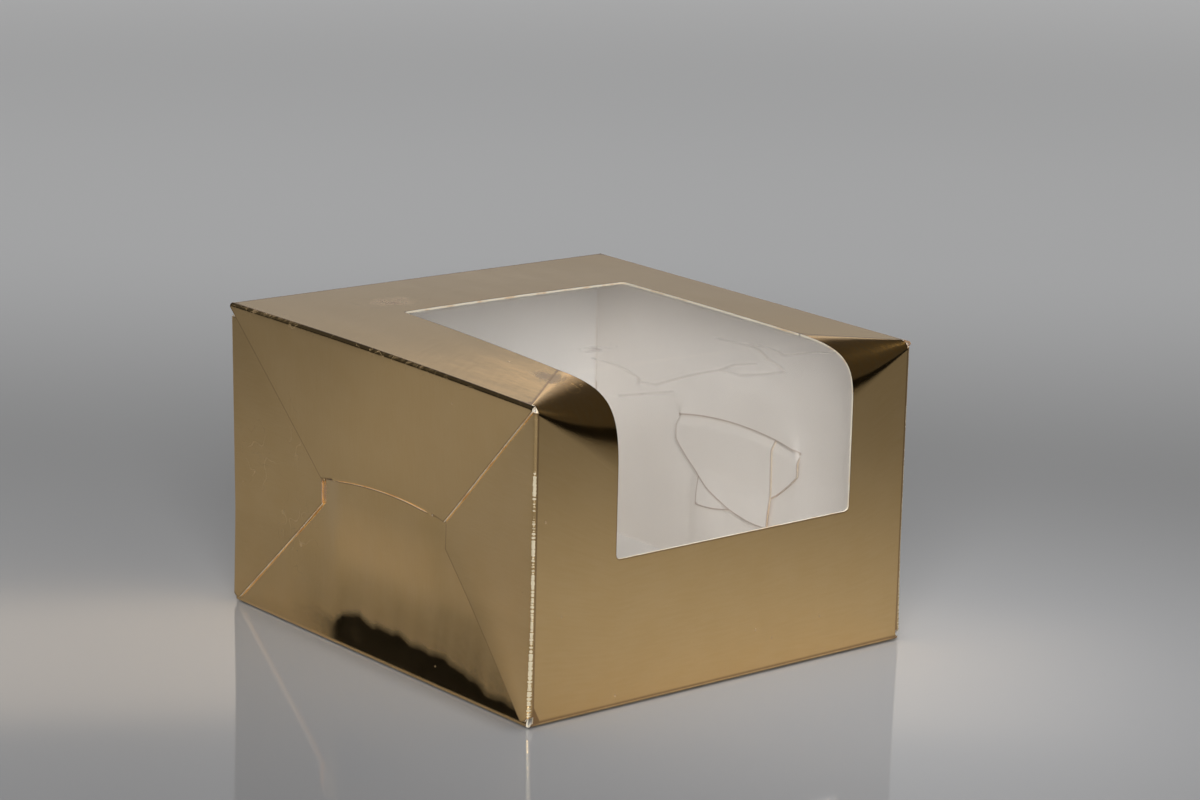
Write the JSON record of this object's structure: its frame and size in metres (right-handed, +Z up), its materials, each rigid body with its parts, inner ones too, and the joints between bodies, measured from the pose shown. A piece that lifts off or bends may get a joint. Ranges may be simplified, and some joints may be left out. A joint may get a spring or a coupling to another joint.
{
  "type": "bakery box",
  "caption": "Small folding carton for cakes, metallised gold board with a clear film window over top and front, closed by interlocking flaps at both ends.",
  "frame": {"origin": "on the table under the middle of the closed carton", "axes": "+X from the left end closure to the right one, -Y through the front wall with the window, +Z up"},
  "size_m": [0.098, 0.102, 0.064],
  "materials": {
    "gold_board": "satin gold metallised foil outside, uncoated white inside",
    "window_film": "clear film, slightly hazy"
  },
  "bodies": {
    "sleeve": {"floor_panel": "gold_board", "front_panel": "gold_board", "top_panel": "gold_board", "back_panel": "gold_board", "glue_tab": "gold_board", "window_film": "window_film"},
    "left_lid": {"left_lid_flap": "gold_board", "left_lid_tongue": "gold_board"},
    "left_back_side": {"left_back_side_flap": "gold_board", "left_back_tip": "gold_board"},
    "left_front_side": {"left_front_side_flap": "gold_board", "left_front_tip": "gold_board"},
    "left_inner": {"left_inner_flap": "gold_board"},
    "right_lid": {"right_lid_flap": "gold_board", "right_lid_tongue": "gold_board"},
    "right_back_side": {"right_back_side_flap": "gold_board", "right_back_tip": "gold_board"},
    "right_front_side": {"right_front_side_flap": "gold_board", "right_front_tip": "gold_board"},
    "right_inner": {"right_inner_flap": "gold_board"}
  },
  "joints": [
    {"name": "left_lid_hinge", "type": "hinge", "parent": "sleeve", "child": "left_lid", "pos_m": [-0.0488, 0, 0.0638], "axis": [0, 1, 0], "range_deg": [0, 135], "deforming": ["left_lid_tongue"]},
    {"name": "left_back_side_hinge", "type": "hinge", "parent": "sleeve", "child": "left_back_side", "pos_m": [-0.0481, 0.0508, 0.032], "axis": [0, 0, -1], "range_deg": [0, 90], "deforming": ["left_back_tip"]},
    {"name": "left_front_side_hinge", "type": "hinge", "parent": "sleeve", "child": "left_front_side", "pos_m": [-0.0481, -0.0508, 0.032], "axis": [0, 0, 1], "range_deg": [0, 90], "deforming": ["left_front_tip"]},
    {"name": "left_inner_hinge", "type": "hinge", "parent": "sleeve", "child": "left_inner", "pos_m": [-0.0472, 0, 0.0004], "axis": [0, 1, 0], "range_deg": [0, 86.5]},
    {"name": "right_lid_hinge", "type": "hinge", "parent": "sleeve", "child": "right_lid", "pos_m": [0.0488, 0, 0.0638], "axis": [0, -1, 0], "range_deg": [0, 135], "deforming": ["right_lid_tongue"]},
    {"name": "right_back_side_hinge", "type": "hinge", "parent": "sleeve", "child": "right_back_side", "pos_m": [0.0481, 0.0508, 0.032], "axis": [0, 0, 1], "range_deg": [0, 90], "deforming": ["right_back_tip"]},
    {"name": "right_front_side_hinge", "type": "hinge", "parent": "sleeve", "child": "right_front_side", "pos_m": [0.0481, -0.0508, 0.032], "axis": [0, 0, -1], "range_deg": [0, 90], "deforming": ["right_front_tip"]},
    {"name": "right_inner_hinge", "type": "hinge", "parent": "sleeve", "child": "right_inner", "pos_m": [0.0472, 0, 0.0004], "axis": [0, -1, 0], "range_deg": [0, 79]}
  ],
  "couplings": [
    {"joint": "left_back_side_hinge", "follows": "left_lid_hinge", "ratio": 0.6666},
    {"joint": "left_front_side_hinge", "follows": "left_lid_hinge", "ratio": 0.6666},
    {"joint": "left_inner_hinge", "follows": "left_lid_hinge", "ratio": 0.64},
    {"joint": "right_back_side_hinge", "follows": "right_lid_hinge", "ratio": 0.6666},
    {"joint": "right_front_side_hinge", "follows": "right_lid_hinge", "ratio": 0.6666},
    {"joint": "right_inner_hinge", "follows": "right_lid_hinge", "ratio": 0.585}
  ]
}
